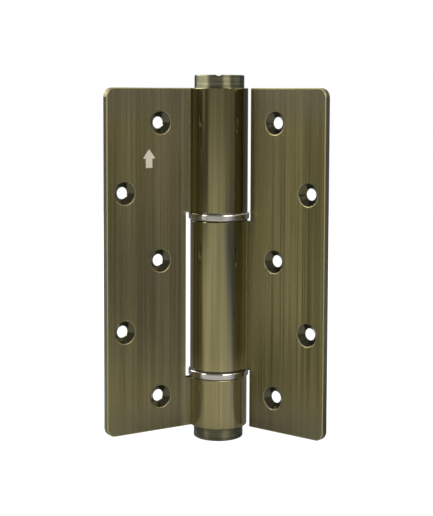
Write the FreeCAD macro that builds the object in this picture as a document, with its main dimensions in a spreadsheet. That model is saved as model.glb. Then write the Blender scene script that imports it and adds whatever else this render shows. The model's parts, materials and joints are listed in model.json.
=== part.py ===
import FreeCAD, Part
import math
import os
import re
import Sketcher

# Hydraulic butt hinge with three knuckles, in millimetres.
# Z runs up the pin axis from the end face of the bottom cap. The frame leaf lies along -X with its mounting
# face towards +Y; the door leaf is modelled flat along +X and turned about the pin by the opening angle.

SIZES = [
    ("leaf_height", 150.0, "height of both leaves"),
    ("leaf_width", 54.3, "pin axis to outer edge of a leaf"),
    ("leaf_thick", 3.0, "plate thickness of a leaf"),
    ("closed_gap", 5.0, "gap between the leaves when the hinge is closed"),
    ("fold_angle", 70.0, "turn of the door leaf from flat, in degrees"),
    ("corner_radius", 4.0, "rounded outer corners of a leaf"),
    ("edge_break", 0.45, "chamfer along the leaf's front edges"),
    ("barrel_dia", 25.5, "outside of the knuckles"),
    ("barrel_round", 0.25, "rounding of the knuckle ends"),
    ("bore_dia", 19.5, "bore through the knuckles"),
    ("notch_gap", 2.75, "gap between a knuckle and the other leaf's cut-out"),
    ("bottom_knuckle", 21.8, "length of the bottom knuckle"),
    ("middle_knuckle", 66.2, "length of the middle knuckle"),
    ("ring_gap", 3.7, "axial gap between two knuckles"),
    ("hole_pitch", 30.0, "vertical pitch of the screw holes"),
    ("inner_row", 28.25, "pin axis to the inner row of holes"),
    ("outer_row", 45.75, "pin axis to the outer row of holes"),
    ("screw_hole", 5.2, "through hole for the leaf screws"),
    ("screw_head", 10.0, "wide end of the countersink"),
    ("sink_angle", 90.0, "full angle of the countersink, in degrees"),
    ("fit", 0.03, "radial clearance of a seated round piece"),
    ("run_fit", 0.05, "radial clearance of a turning or sliding piece"),
    ("cap_dia", 22.0, "outside of the two caps"),
    ("cap_height", 5.7, "height of a cap above its knuckle"),
    ("cap_round", 0.5, "rounding of the cap's rim"),
    ("cap_shank", 8.0, "length of a cap inside its knuckle"),
    ("slot_width", 1.3, "floor of the top cap's screwdriver slot"),
    ("slot_mouth", 2.6, "width of the slot at the cap's face"),
    ("slot_depth", 0.5, "depth of the screwdriver slot"),
    ("slot_turn", 34.0, "turn of the slot from square to the frame leaf, in degrees"),
    ("ring_dia", 27.0, "rim of the bearing rings"),
    ("ring_band", 3.1, "thickness of a ring's rim"),
    ("rim_round", 0.8, "rounding of a ring's rim"),
    ("ring_step_dia", 24.0, "shoulder of a ring towards its knuckle"),
    ("ring_spigot", 7.7, "length of a ring's spigot in the knuckle"),
    ("washer_thick", 0.4, "thrust washer thickness"),
    ("washer_dia", 24.6, "thrust washer outside"),
    ("spindle_dia", 10.0, "cam spindle"),
    ("spindle_bore", 5.1, "bore of the spindle for the speed screw"),
    ("foot_flats", 12.0, "hexagonal foot of the spindle, across flats"),
    ("foot_seat", 5.0, "depth of the foot's socket in the bottom cap"),
    ("foot_length", 10.0, "length of the hexagonal foot"),
    ("spindle_land", 2.8, "end of the spindle past its cam slots"),
    ("cutter_over", 0.5, "reach of the slot cutter past the spindle's wall on each side"),
    ("valve_seat_dia", 2.4, "needle seat in the spindle"),
    ("valve_rise", 4.8, "needle seat above the gland"),
    ("valve_land", 3.0, "length of the needle seat"),
    ("oil_port", 2.0, "cross drilling below the needle seat"),
    ("cam_lead", 16.0, "rise of the cam slots in one full turn"),
    ("cam_rise", 3.7, "cam slots above the needle seat"),
    ("cam_slot", 4.6, "axial width of a cam slot"),
    ("cam_before", 150.0, "cam slot before the pin, in degrees"),
    ("cam_after", 110.0, "cam slot past the pin, in degrees"),
    ("pin_dia", 3.0, "cam pin"),
    ("pin_length", 17.0, "length of the cam pin"),
    ("tube_bore", 15.5, "bore of the cylinder tube"),
    ("groove_width", 3.1, "guide grooves in the tube"),
    ("groove_reach", 17.2, "across the two groove floors"),
    ("groove_length", 27.0, "length of the guide grooves"),
    ("gland_length", 10.0, "lower gland"),
    ("seal_pocket_dia", 14.0, "seat of the rod seal in the gland"),
    ("seal_pocket_depth", 4.0, "depth of the rod seal's seat"),
    ("lip_groove", 0.8, "groove between the rod seal's lips"),
    ("plug_length", 7.7, "upper plug inside the middle knuckle"),
    ("trunnion_dia", 12.0, "trunnion of the upper plug"),
    ("bush_dia", 14.0, "outside of the trunnion bush"),
    ("dog_dia", 12.0, "spring dog under the top cap"),
    ("dog_length", 8.2, "length of the spring dog"),
    ("dog_slot", 2.6, "slot that holds a spring end"),
    ("dog_slot_depth", 4.0, "depth of the slot for a spring end"),
    ("o_groove", 2.2, "width of an O-ring groove"),
    ("o_groove_floor", 16.5, "floor of an O-ring groove"),
    ("o_section", 1.4, "thickness of an O-ring"),
    ("crown_gap", 7.0, "room between the spindle and the piston's crown as drawn"),
    ("piston_skirt", 24.0, "length of the piston below its crown"),
    ("crown", 6.0, "thickness of the piston's crown"),
    ("piston_groove_floor", 12.6, "floor of the piston's seal groove"),
    ("ball_dia", 3.5, "check ball"),
    ("ball_port", 2.2, "passage under the check ball"),
    ("ball_room", 4.2, "room around the check ball"),
    ("retainer_dia", 8.0, "disc that keeps the ball"),
    ("retainer_thick", 0.8, "thickness of the ball's retainer"),
    ("retainer_hole", 1.0, "oil holes in the retainer"),
    ("retainer_row", 1.5, "pin axis to the retainer's oil holes"),
    ("wire", 2.2, "side of the square spring wire"),
    ("coil_dia", 15.2, "mean coil diameter of the closing spring"),
    ("coil_turns", 7.0, "turns of the closing spring"),
    ("tang_gap", 0.6, "room past a spring end in its slot"),
    ("tang_set", 0.05, "set-back of a spring end from the coil's outside"),
    ("screw_dia", 5.0, "stem of the speed screw"),
    ("screw_cap_dia", 8.0, "head of the speed screw"),
    ("screw_room", 8.4, "counterbore for the speed screw's head"),
    ("screw_sunk", 1.2, "speed screw's head below the end face"),
    ("screw_cap_height", 4.0, "height of the speed screw's head"),
    ("key_flats", 4.0, "hexagon key across flats"),
    ("needle_dia", 1.6, "tip of the needle"),
    ("needle_length", 3.0, "cone and tip of the needle"),
    ("needle_clear", 0.3, "end of the cone below the needle seat"),
    ("stem_groove_floor", 3.3, "floor of the stem's O-ring groove"),
    ("stem_ring", 0.84, "thickness of the stem's O-ring"),
    ("stem_groove_rise", 0.6, "stem's O-ring groove above the knuckle's end"),
    ("lock_dia", 4.0, "grub screw that locks the bottom cap"),
    ("lock_bite", 2.27, "depth of the grub screw in the bottom cap"),
    ("lock_sunk", 0.3, "grub screw below the knuckle's surface"),
    ("lock_key", 2.0, "its hexagon key across flats"),
    ("circlip_thick", 1.0, "snap ring of the top cap"),
    ("circlip_outside", 20.5, "outside of the snap ring"),
    ("circlip_inside", 17.5, "inside of the snap ring"),
    ("circlip_groove", 20.8, "groove for the snap ring in the knuckle"),
    ("circlip_level", 3.8, "snap ring below the knuckle's end"),
    ("circlip_mouth", 6.0, "opening of the snap ring"),
]

doc = FreeCAD.newDocument("Hinge")
sheet = doc.addObject("Spreadsheet::Sheet", "Dims")
for row, (alias, size, meaning) in enumerate(SIZES, start=1):
    sheet.set(f"A{row}", alias)
    sheet.set(f"B{row}", str(size))
    sheet.setAlias(f"B{row}", alias)
    sheet.set(f"C{row}", meaning)
doc.recompute()

ALIASES = {alias for alias, size, meaning in SIZES}
PARTS = []
HOLES = 5
CLOSE = 1e-4


def bound(text):
    """The formula with each alias written as the sheet's cell."""
    return re.sub(r"[a-z_]+", lambda word: "Dims." + word[0] if word[0] in ALIASES else word[0], text)


def value(text):
    """The present value of a formula."""
    return float(sheet.evalExpression(bound(text)))


# Heights of the stack, each from the end face of the bottom cap
LEAF_BASE = "cap_height"
LOW_TOP = f"({LEAF_BASE} + bottom_knuckle)"
MID_BASE = f"({LOW_TOP} + ring_gap)"
MID_TOP = f"({MID_BASE} + middle_knuckle)"
UP_BASE = f"({MID_TOP} + ring_gap)"
LEAF_TOP = f"({LEAF_BASE} + leaf_height)"
TUBE_BASE = f"({MID_BASE} + gland_length)"
TUBE_TOP = f"({MID_TOP} - plug_length)"
FOOT_BASE = f"({LEAF_BASE} + cap_shank - foot_seat)"
TRUNNION_TOP = f"({UP_BASE} + ring_spigot + dog_slot_depth)"
DOG_BASE = f"({LEAF_TOP} - cap_shank - dog_length)"
VALVE_LEVEL = f"({TUBE_BASE} + valve_rise)"
CAM_FLOOR = f"({VALVE_LEVEL} + valve_land + cam_rise)"
CAM_LEVEL = f"({CAM_FLOOR} + cam_slot / 2 + cam_lead * cam_before / 360)"
SPINDLE_TOP = f"({CAM_LEVEL} + cam_lead * cam_after / 360 + cam_slot / 2 + spindle_land)"
CROWN_BASE = f"({SPINDLE_TOP} + crown_gap)"
PISTON_BASE = f"({CROWN_BASE} - piston_skirt)"
PISTON_TOP = f"({CROWN_BASE} + crown)"

# Radii that several pieces share
SEAT = "(bore_dia / 2 - fit)"
BORE = "(bore_dia / 2)"
FRONT = "(closed_gap / 2)"
BACK = "(closed_gap / 2 + leaf_thick)"
NOTCH = "(barrel_dia / 2 + notch_gap)"
LOCK_FACE = "(barrel_dia / 2 - lock_sunk)"
LOCK_LENGTH = f"({LOCK_FACE} - {SEAT} + lock_bite)"


def new_body(label):
    """A body that becomes one sub-part."""
    body = doc.addObject("PartDesign::Body", label)
    body.Label = label
    PARTS.append(body)
    return body


def new_sketch(body, role, rise="0", turn=None):
    """A sketch on an origin plane, moved along the plane's normal by rise."""
    sketch = body.newObject("Sketcher::SketchObject", body.Name + "_sketch")
    plane = [item for item in body.Origin.OriginFeatures if item.Role == role][0]
    sketch.AttachmentSupport = [(plane, "")]
    sketch.MapMode = "FlatFace"
    if turn is not None:
        sketch.AttachmentOffset = FreeCAD.Placement(
            FreeCAD.Vector(), FreeCAD.Rotation(FreeCAD.Vector(0, 1, 0), 1)
        )
        sketch.setExpression(".AttachmentOffset.Rotation.Angle", bound(turn))
    sketch.setExpression(".AttachmentOffset.Base.z", bound(rise))
    return sketch


def fix_point(sketch, edge, end, x, y):
    """Ties one end of an edge to the formulas x and y."""
    for kind, formula in (("DistanceX", x), ("DistanceY", y)):
        index = sketch.addConstraint(Sketcher.Constraint(kind, -1, 1, edge, end, value(formula)))
        sketch.setExpression(f"Constraints[{index}]", bound(formula))


def outline(sketch, points):
    """A closed outline of straight lines through points given as formulas."""
    corners = [FreeCAD.Vector(value(x), value(y), 0) for x, y in points]
    first = sketch.GeometryCount
    count = len(points)
    for i in range(count):
        sketch.addGeometry(Part.LineSegment(corners[i], corners[(i + 1) % count]))
    for i in range(count):
        sketch.addConstraint(Sketcher.Constraint("Coincident", first + i, 2, first + (i + 1) % count, 1))
    for i, (x, y) in enumerate(points):
        fix_point(sketch, first + i, 1, x, y)


def rectangle(sketch, x1, y1, x2, y2):
    """A rectangle from corner to corner."""
    outline(sketch, [(x1, y1), (x2, y1), (x2, y2), (x1, y2)])


def circle(sketch, x, y, radius):
    """A circle whose centre and radius are formulas."""
    centre = FreeCAD.Vector(value(x), value(y), 0)
    edge = sketch.addGeometry(Part.Circle(centre, FreeCAD.Vector(0, 0, 1), value(radius)))
    fix_point(sketch, edge, 3, x, y)
    index = sketch.addConstraint(Sketcher.Constraint("Radius", edge, value(radius)))
    sketch.setExpression(f"Constraints[{index}]", bound(radius))


def hexagon(sketch, flats, level="0"):
    """A hexagon across its flats, its centre at x = 0 and y = level."""
    reach = f"{flats} / sqrt(3)"
    corners = []
    for i in range(6):
        angle = f"{60 * i} deg"
        corners.append((f"{reach} * cos({angle})", f"{level} + {reach} * sin({angle})"))
    outline(sketch, corners)


def pad(body, sketch, length):
    """Extrudes a sketch along its normal."""
    feature = body.newObject("PartDesign::Pad", body.Name + "_pad")
    feature.Profile = sketch
    feature.setExpression("Length", bound(length))
    sketch.Visibility = False
    return feature


def pocket(body, sketch, length, both_ways=False, reverse=False):
    """Cuts a sketch into the body, against its normal or half of the length each way."""
    feature = body.newObject("PartDesign::Pocket", body.Name + "_pocket")
    feature.Profile = sketch
    feature.Midplane = both_ways
    feature.Reversed = reverse
    feature.setExpression("Length", bound(length))
    return feature


def turned(label, points):
    """A piece turned about the pin axis from an outline of radius and height."""
    body = new_body(label)
    sketch = new_sketch(body, "XZ_Plane")
    outline(sketch, points)
    feature = body.newObject("PartDesign::Revolution", label + "_turned")
    feature.Profile = sketch
    feature.ReferenceAxis = (sketch, ["V_Axis"])
    return body


def o_ring(label, radius, section, level):
    """An O-ring about the pin axis."""
    body = new_body(label)
    sketch = new_sketch(body, "XZ_Plane")
    circle(sketch, radius, level, f"{section} / 2")
    feature = body.newObject("PartDesign::Revolution", label + "_turned")
    feature.Profile = sketch
    feature.ReferenceAxis = (sketch, ["V_Axis"])
    return body


def edges_of(shape, wanted):
    """The names of a shape's edges for which wanted is true."""
    return [f"Edge{i}" for i, edge in enumerate(shape.Edges, start=1) if wanted(edge)]


def chamfer(body, size, wanted):
    """Breaks the chosen edges of the body."""
    doc.recompute()
    base = body.Tip
    feature = body.newObject("PartDesign::Chamfer", body.Name + "_chamfer")
    feature.Base = (base, edges_of(base.Shape, wanted))
    feature.setExpression("Size", bound(size))
    return feature


def fillet(body, radius, wanted):
    """Rounds the chosen edges of the body."""
    doc.recompute()
    base = body.Tip
    feature = body.newObject("PartDesign::Fillet", body.Name + "_fillet")
    feature.Base = (base, edges_of(base.Shape, wanted))
    feature.setExpression("Radius", bound(radius))
    return feature


def near(number, formula):
    """True where a measured number agrees with a formula."""
    return abs(number - value(formula)) < CLOSE


def is_circle(edge, radius, level):
    """True for a circle about the pin axis with this radius and height."""
    curve = edge.Curve
    if not isinstance(curve, Part.Circle):
        return False
    on_axis = math.hypot(curve.Center.x, curve.Center.y) < CLOSE
    return on_axis and near(curve.Radius, radius) and near(curve.Center.z, level)


def leaf_profile(sketch, side):
    """The extruded section of a leaf: the barrel's round and the plate on one side of it."""
    radius = value("barrel_dia / 2")
    front = value(FRONT)
    back = value(BACK)
    edge = side * value("leaf_width")
    front_foot = FreeCAD.Vector(side * math.sqrt(radius**2 - front**2), front, 0)
    back_foot = FreeCAD.Vector(side * math.sqrt(radius**2 - back**2), back, 0)
    opposite = FreeCAD.Vector(-side * radius, 0, 0)
    corners = [back_foot, FreeCAD.Vector(edge, back, 0), FreeCAD.Vector(edge, front, 0), front_foot]
    for start, finish in zip(corners, corners[1:]):
        sketch.addGeometry(Part.LineSegment(start, finish))
    sketch.addGeometry(Part.Arc(front_foot, opposite, back_foot))
    first, last = (2, 1) if side < 0 else (1, 2)
    for constraint in (
        ("Coincident", 0, 2, 1, 1),
        ("Coincident", 1, 2, 2, 1),
        ("Coincident", 2, 2, 3, last),
        ("Coincident", 0, 1, 3, first),
        ("Coincident", 3, 3, -1, 1),
        ("Horizontal", 0),
        ("Vertical", 1),
        ("Horizontal", 2),
    ):
        sketch.addConstraint(Sketcher.Constraint(*constraint))
    fix_point(sketch, 1, 2, f"{side} * leaf_width", FRONT)
    for constraint, formula in (
        (Sketcher.Constraint("DistanceY", 1, 2, 1, 1, back - front), "leaf_thick"),
        (Sketcher.Constraint("Radius", 3, radius), "barrel_dia / 2"),
    ):
        index = sketch.addConstraint(constraint)
        sketch.setExpression(f"Constraints[{index}]", bound(formula))


def screw_holes(body, side):
    """Countersunk holes from the front, in the inner and the outer row by turns."""
    sketch = new_sketch(body, "XZ_Plane", f"-{FRONT}")
    for i in range(HOLES):
        row = "inner_row" if i % 2 == 0 else "outer_row"
        level = f"{LEAF_BASE} + leaf_height / 2 + hole_pitch * {i - HOLES // 2}"
        circle(sketch, f"{side} * {row}", level, "screw_hole / 2")
    doc.recompute()
    holes = body.newObject("PartDesign::Hole", body.Name + "_holes")
    holes.Profile = sketch
    doc.recompute()
    holes.DepthType = "ThroughAll"
    holes.setExpression("Diameter", bound("screw_hole"))
    holes.HoleCutType = "Countersink"
    holes.HoleCutCustomValues = True
    holes.setExpression("HoleCutDiameter", bound("screw_head"))
    holes.setExpression("HoleCutCountersinkAngle", bound("sink_angle"))
    doc.recompute()


def leaf(label, side, notches):
    """A leaf extruded with its barrel, notched, drilled and with broken edges."""
    body = new_body(label)
    section = new_sketch(body, "XY_Plane", LEAF_BASE)
    leaf_profile(section, side)
    pad(body, section, "leaf_height")
    cuts = new_sketch(body, "XZ_Plane")
    for low, high in notches:
        rectangle(cuts, f"{side} * {NOTCH}", low, f"{-side} * barrel_dia", high)
    pocket(body, cuts, "2 * barrel_dia", both_ways=True)
    bore = new_sketch(body, "XY_Plane", LEAF_BASE)
    circle(bore, "0", "0", BORE)
    pocket(body, bore, "leaf_height", reverse=True)

    def corner(edge):
        centre = edge.CenterOfMass
        across = edge.tangentAt(edge.FirstParameter).cross(FreeCAD.Vector(0, 1, 0)).Length
        return across < CLOSE and near(side * centre.x, "leaf_width")

    def outer_front(edge):
        centre = edge.CenterOfMass
        flat = near(edge.BoundBox.YMin, FRONT) and near(edge.BoundBox.YMax, FRONT)
        return flat and side * centre.x > value(f"{NOTCH} + notch_gap")

    def knuckle_rim(edge):
        if not isinstance(edge.Curve, Part.Circle):
            return False
        tilt = edge.Curve.Axis.cross(FreeCAD.Vector(0, 0, 1)).Length
        return tilt < CLOSE and near(edge.Curve.Radius, "barrel_dia / 2")

    fillet(body, "corner_radius", corner)
    chamfer(body, "edge_break", outer_front)
    screw_holes(body, side)
    fillet(body, "barrel_round", knuckle_rim)
    return body


def frame_leaf():
    """Leaf on the frame, with the bottom and the top knuckle."""
    body = leaf("frame_leaf", -1, [(LOW_TOP, UP_BASE)])
    groove = new_sketch(body, "XY_Plane", f"{LEAF_TOP} - circlip_level")
    circle(groove, "0", "0", "circlip_groove / 2")
    pocket(body, groove, "circlip_thick + 2 * fit")
    lock = new_sketch(body, "XZ_Plane")
    circle(lock, "0", f"{LEAF_BASE} + cap_shank / 2", "lock_dia / 2 + fit")
    pocket(body, lock, "barrel_dia")


def door_leaf():
    """Leaf on the door, with the middle knuckle, drawn open."""
    ends = [("0", MID_BASE), (MID_TOP, f"{LEAF_TOP} + cap_height")]
    body = leaf("door_leaf", 1, ends)
    body.Placement = FreeCAD.Placement(FreeCAD.Vector(), FreeCAD.Rotation(FreeCAD.Vector(0, 0, 1), -1))
    body.setExpression(".Placement.Rotation.Angle", bound("-fold_angle"))


def top_cap():
    """Slotted cap that tightens the closing spring."""
    shank_floor = f"{LEAF_TOP} - cap_shank"
    ring_top = f"{LEAF_TOP} - circlip_level + fit"
    ring_low = f"{LEAF_TOP} - circlip_level - circlip_thick - 3 * fit"
    top = f"{LEAF_TOP} + cap_height"
    body = turned(
        "top_cap",
        [
            ("0", DOG_BASE),
            ("dog_dia / 2", DOG_BASE),
            ("dog_dia / 2", shank_floor),
            (SEAT, shank_floor),
            (SEAT, ring_low),
            ("circlip_inside / 2 - run_fit", ring_low),
            ("circlip_inside / 2 - run_fit", ring_top),
            (SEAT, ring_top),
            (SEAT, LEAF_TOP),
            ("cap_dia / 2", LEAF_TOP),
            ("cap_dia / 2", top),
            ("0", top),
        ],
    )
    fillet(body, "cap_round", lambda edge: is_circle(edge, "cap_dia / 2", top))
    slot = new_sketch(body, "XZ_Plane", turn="-slot_turn")
    outline(
        slot,
        [
            ("-slot_width / 2", f"{top} - slot_depth"),
            ("slot_width / 2", f"{top} - slot_depth"),
            ("slot_mouth / 2", top),
            ("-slot_mouth / 2", top),
        ],
    )
    pocket(body, slot, "2 * cap_dia", both_ways=True)
    dog = new_sketch(body, "XY_Plane", DOG_BASE)
    rectangle(dog, "-dog_dia", "-dog_slot / 2", "dog_dia", "dog_slot / 2")
    pocket(body, dog, "dog_slot_depth", reverse=True)


def bottom_cap():
    """Plain cap with the socket for the spindle's foot and the room for the speed screw."""
    top = f"{LEAF_BASE} + cap_shank"
    body = turned(
        "bottom_cap",
        [
            ("screw_room / 2", "0"),
            ("cap_dia / 2", "0"),
            ("cap_dia / 2", LEAF_BASE),
            (SEAT, LEAF_BASE),
            (SEAT, top),
            ("screw_dia / 2 + run_fit", top),
            ("screw_dia / 2 + run_fit", "screw_sunk + screw_cap_height + run_fit"),
            ("screw_room / 2", "screw_sunk + screw_cap_height + run_fit"),
        ],
    )
    fillet(body, "cap_round", lambda edge: is_circle(edge, "cap_dia / 2", "0"))
    socket = new_sketch(body, "XY_Plane", top)
    hexagon(socket, "(foot_flats + 2 * fit)")
    pocket(body, socket, "foot_seat")
    lock = new_sketch(body, "XZ_Plane", f"-{SEAT}")
    circle(lock, "0", f"{LEAF_BASE} + cap_shank / 2", "lock_dia / 2 + fit")
    pocket(body, lock, "lock_bite + 5 * fit", reverse=True)


def cap_lock_screw():
    """Grub screw in the back of the bottom knuckle, hollow for its key."""
    body = new_body("cap_lock_screw")
    stem = new_sketch(body, "XZ_Plane", f"-{LOCK_FACE}")
    circle(stem, "0", f"{LEAF_BASE} + cap_shank / 2", "lock_dia / 2")
    pad(body, stem, LOCK_LENGTH)
    key = new_sketch(body, "XZ_Plane", f"-{LOCK_FACE}")
    hexagon(key, "lock_key", f"{LEAF_BASE} + cap_shank / 2")
    pocket(body, key, f"{LOCK_LENGTH} / 2", reverse=True)


def bearing_ring(label, knuckle_face, direction, inside):
    """Polished ring: a shoulder and a spigot towards the knuckle that holds it, a round rim beside it."""
    step = "(ring_gap - ring_band - washer_thick)"
    body = turned(
        label,
        [
            (inside, f"{knuckle_face} + {direction} * ring_spigot"),
            (SEAT, f"{knuckle_face} + {direction} * ring_spigot"),
            (SEAT, knuckle_face),
            ("ring_step_dia / 2", knuckle_face),
            ("ring_step_dia / 2", f"{knuckle_face} - {direction} * {step}"),
            ("ring_dia / 2", f"{knuckle_face} - {direction} * {step}"),
            ("ring_dia / 2", f"{knuckle_face} - {direction} * ({step} + ring_band)"),
            (inside, f"{knuckle_face} - {direction} * ({step} + ring_band)"),
        ],
    )
    fillet(
        body,
        "rim_round",
        lambda edge: is_circle(edge, "ring_dia / 2", f"{knuckle_face} - {direction} * {step}")
        or is_circle(edge, "ring_dia / 2", f"{knuckle_face} - {direction} * ({step} + ring_band)"),
    )


def thrust_washer(label, low, inside):
    """Thin black washer between a ring and the middle knuckle."""
    high = f"{low} + washer_thick"
    turned(label, [(inside, low), ("washer_dia / 2", low), ("washer_dia / 2", high), (inside, high)])


def cam_spindle():
    """Hollow shaft with a hexagonal foot, a needle seat, an oil port and two helical cam slots."""
    foot_top = f"({FOOT_BASE} + foot_length)"
    bore = "spindle_bore / 2"
    seat_top = f"{VALVE_LEVEL} + valve_land"
    body = turned(
        "cam_spindle",
        [
            (bore, foot_top),
            ("spindle_dia / 2", foot_top),
            ("spindle_dia / 2", SPINDLE_TOP),
            (bore, SPINDLE_TOP),
            (bore, seat_top),
            ("valve_seat_dia / 2", seat_top),
            ("valve_seat_dia / 2", VALVE_LEVEL),
            (bore, VALVE_LEVEL),
        ],
    )
    foot = new_sketch(body, "XY_Plane", FOOT_BASE)
    hexagon(foot, "foot_flats")
    circle(foot, "0", "0", bore)
    pad(body, foot, "foot_length")
    port = new_sketch(body, "XZ_Plane")
    circle(port, "0", f"{VALVE_LEVEL} - oil_port", "oil_port / 2")
    pocket(body, port, "2 * spindle_dia", both_ways=True)
    slot = new_sketch(body, "XZ_Plane", turn="-cam_before")
    rectangle(
        slot,
        f"{bore} - cutter_over",
        CAM_FLOOR,
        "spindle_dia / 2 + cutter_over",
        f"{CAM_FLOOR} + cam_slot",
    )
    helix = body.newObject("PartDesign::SubtractiveHelix", "cam_slot_cut")
    helix.Profile = slot
    helix.ReferenceAxis = (slot, ["V_Axis"])
    helix.Mode = 0
    helix.setExpression("Pitch", bound("cam_lead"))
    helix.setExpression("Height", bound("cam_lead * (cam_before + cam_after) / 360"))
    doc.recompute()
    pair = body.newObject("PartDesign::PolarPattern", "cam_slot_pair")
    pair.Originals = [helix]
    pair.Axis = (slot, ["V_Axis"])
    pair.Angle = 360
    pair.Occurrences = 2
    body.Tip = pair


def cylinder_tube():
    """Steel liner of the middle knuckle with two straight grooves that guide the cam pin."""
    body = turned(
        "cylinder_tube",
        [("tube_bore / 2", TUBE_BASE), (SEAT, TUBE_BASE), (SEAT, TUBE_TOP), ("tube_bore / 2", TUBE_TOP)],
    )
    grooves = new_sketch(body, "XY_Plane", TUBE_BASE)
    rectangle(grooves, "-groove_reach / 2", "-groove_width / 2", "groove_reach / 2", "groove_width / 2")
    pocket(body, grooves, "groove_length", reverse=True)


def lower_gland():
    """Bottom of the oil cylinder, which turns on the spindle."""
    inside = "spindle_dia / 2 + run_fit"
    ring = f"{MID_BASE} + gland_length / 3"
    turned(
        "lower_gland",
        [
            (inside, MID_BASE),
            (SEAT, MID_BASE),
            (SEAT, ring),
            ("o_groove_floor / 2", ring),
            ("o_groove_floor / 2", f"{ring} + o_groove"),
            (SEAT, f"{ring} + o_groove"),
            (SEAT, TUBE_BASE),
            ("seal_pocket_dia / 2", TUBE_BASE),
            ("seal_pocket_dia / 2", f"{TUBE_BASE} - seal_pocket_depth"),
            (inside, f"{TUBE_BASE} - seal_pocket_depth"),
        ],
    )
    o_ring("gland_o_ring", f"({BORE} - o_section / 2 - fit)", "o_section", f"{ring} + o_groove / 2")


def gland_seal():
    """Rod seal with a lip towards the oil."""
    low = f"({TUBE_BASE} - seal_pocket_depth)"
    inside = "spindle_dia / 2 + run_fit"
    outside = "seal_pocket_dia / 2 - fit"
    middle = "(spindle_dia + seal_pocket_dia) / 4"
    turned(
        "gland_seal",
        [
            (inside, low),
            (outside, low),
            (outside, f"{TUBE_BASE} - fit"),
            (f"{middle} + lip_groove / 2", f"{TUBE_BASE} - fit"),
            (middle, f"{low} + seal_pocket_depth / 2"),
            (f"{middle} - lip_groove / 2", f"{TUBE_BASE} - fit"),
            (inside, f"{TUBE_BASE} - fit"),
        ],
    )


def upper_plug():
    """Top of the oil cylinder; its trunnion turns in the upper ring and holds the spring's lower end."""
    ring = f"{TUBE_TOP} + plug_length / 3"
    body = turned(
        "upper_plug",
        [
            ("0", TUBE_TOP),
            (SEAT, TUBE_TOP),
            (SEAT, ring),
            ("o_groove_floor / 2", ring),
            ("o_groove_floor / 2", f"{ring} + o_groove"),
            (SEAT, f"{ring} + o_groove"),
            (SEAT, MID_TOP),
            ("trunnion_dia / 2", MID_TOP),
            ("trunnion_dia / 2", TRUNNION_TOP),
            ("0", TRUNNION_TOP),
        ],
    )
    slot = new_sketch(body, "XY_Plane", TRUNNION_TOP)
    rectangle(slot, "-trunnion_dia", "-dog_slot / 2", "trunnion_dia", "dog_slot / 2")
    pocket(body, slot, "dog_slot_depth")
    o_ring("plug_o_ring", f"({BORE} - o_section / 2 - fit)", "o_section", f"{ring} + o_groove / 2")


def trunnion_bush():
    """Plastic bush between the upper ring and the trunnion."""
    inside = "trunnion_dia / 2 + run_fit"
    outside = "bush_dia / 2"
    top = f"{UP_BASE} + ring_spigot"
    low = f"{MID_TOP} + washer_thick"
    turned("trunnion_bush", [(inside, low), (outside, low), (outside, top), (inside, top)])


def piston():
    """Hollow piston with a crown, a seal groove, a ball valve and the cross hole of the cam pin."""
    outside = "(tube_bore / 2 - run_fit)"
    groove = f"({CROWN_BASE} + (crown - o_groove) / 3)"
    body = turned(
        "piston",
        [
            ("ball_port / 2", CROWN_BASE),
            ("spindle_dia / 2 + run_fit", CROWN_BASE),
            ("spindle_dia / 2 + run_fit", PISTON_BASE),
            (outside, PISTON_BASE),
            (outside, groove),
            ("piston_groove_floor / 2", groove),
            ("piston_groove_floor / 2", f"{groove} + o_groove"),
            (outside, f"{groove} + o_groove"),
            (outside, PISTON_TOP),
            ("retainer_dia / 2", PISTON_TOP),
            ("retainer_dia / 2", f"{PISTON_TOP} - retainer_thick"),
            ("ball_room / 2", f"{PISTON_TOP} - retainer_thick"),
            ("ball_room / 2", f"{PISTON_TOP} - retainer_thick - ball_dia - fit"),
            ("ball_port / 2", f"{PISTON_TOP} - retainer_thick - ball_dia - fit"),
        ],
    )
    hole = new_sketch(body, "YZ_Plane")
    circle(hole, "0", CAM_LEVEL, "pin_dia / 2 + fit")
    pocket(body, hole, "2 * tube_bore", both_ways=True)
    turned(
        "piston_seal",
        [
            ("piston_groove_floor / 2 + fit", f"{groove} + fit"),
            (f"{outside} - fit", f"{groove} + fit"),
            (f"{outside} - fit", f"{groove} + o_groove - fit"),
            ("piston_groove_floor / 2 + fit", f"{groove} + o_groove - fit"),
        ],
    )


def cam_pin():
    """Cross pin of the piston."""
    body = new_body("cam_pin")
    section = new_sketch(body, "YZ_Plane")
    circle(section, "0", CAM_LEVEL, "pin_dia / 2")
    rod = pad(body, section, "pin_length")
    rod.Midplane = True


def check_ball():
    """Ball of the one-way valve, below its retainer."""
    body = new_body("check_ball")
    sketch = new_sketch(body, "XZ_Plane")
    centre = f"({PISTON_TOP} - retainer_thick - ball_dia / 2)"
    radius = value("ball_dia / 2")
    middle = FreeCAD.Vector(0, value(centre), 0)
    top = middle + FreeCAD.Vector(0, radius, 0)
    bottom = middle - FreeCAD.Vector(0, radius, 0)
    sketch.addGeometry(Part.Arc(bottom, middle + FreeCAD.Vector(radius, 0, 0), top))
    sketch.addGeometry(Part.LineSegment(top, bottom))
    sketch.addConstraint(Sketcher.Constraint("Coincident", 0, 2, 1, 1))
    sketch.addConstraint(Sketcher.Constraint("Coincident", 0, 1, 1, 2))
    sketch.addConstraint(Sketcher.Constraint("PointOnObject", 0, 3, 1))
    fix_point(sketch, 0, 3, "0", centre)
    sketch.addConstraint(Sketcher.Constraint("Vertical", 1))
    index = sketch.addConstraint(Sketcher.Constraint("Radius", 0, radius))
    sketch.setExpression(f"Constraints[{index}]", bound("ball_dia / 2"))
    ball = body.newObject("PartDesign::Revolution", "check_ball_turned")
    ball.Profile = sketch
    ball.ReferenceAxis = (sketch, ["V_Axis"])


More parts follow.
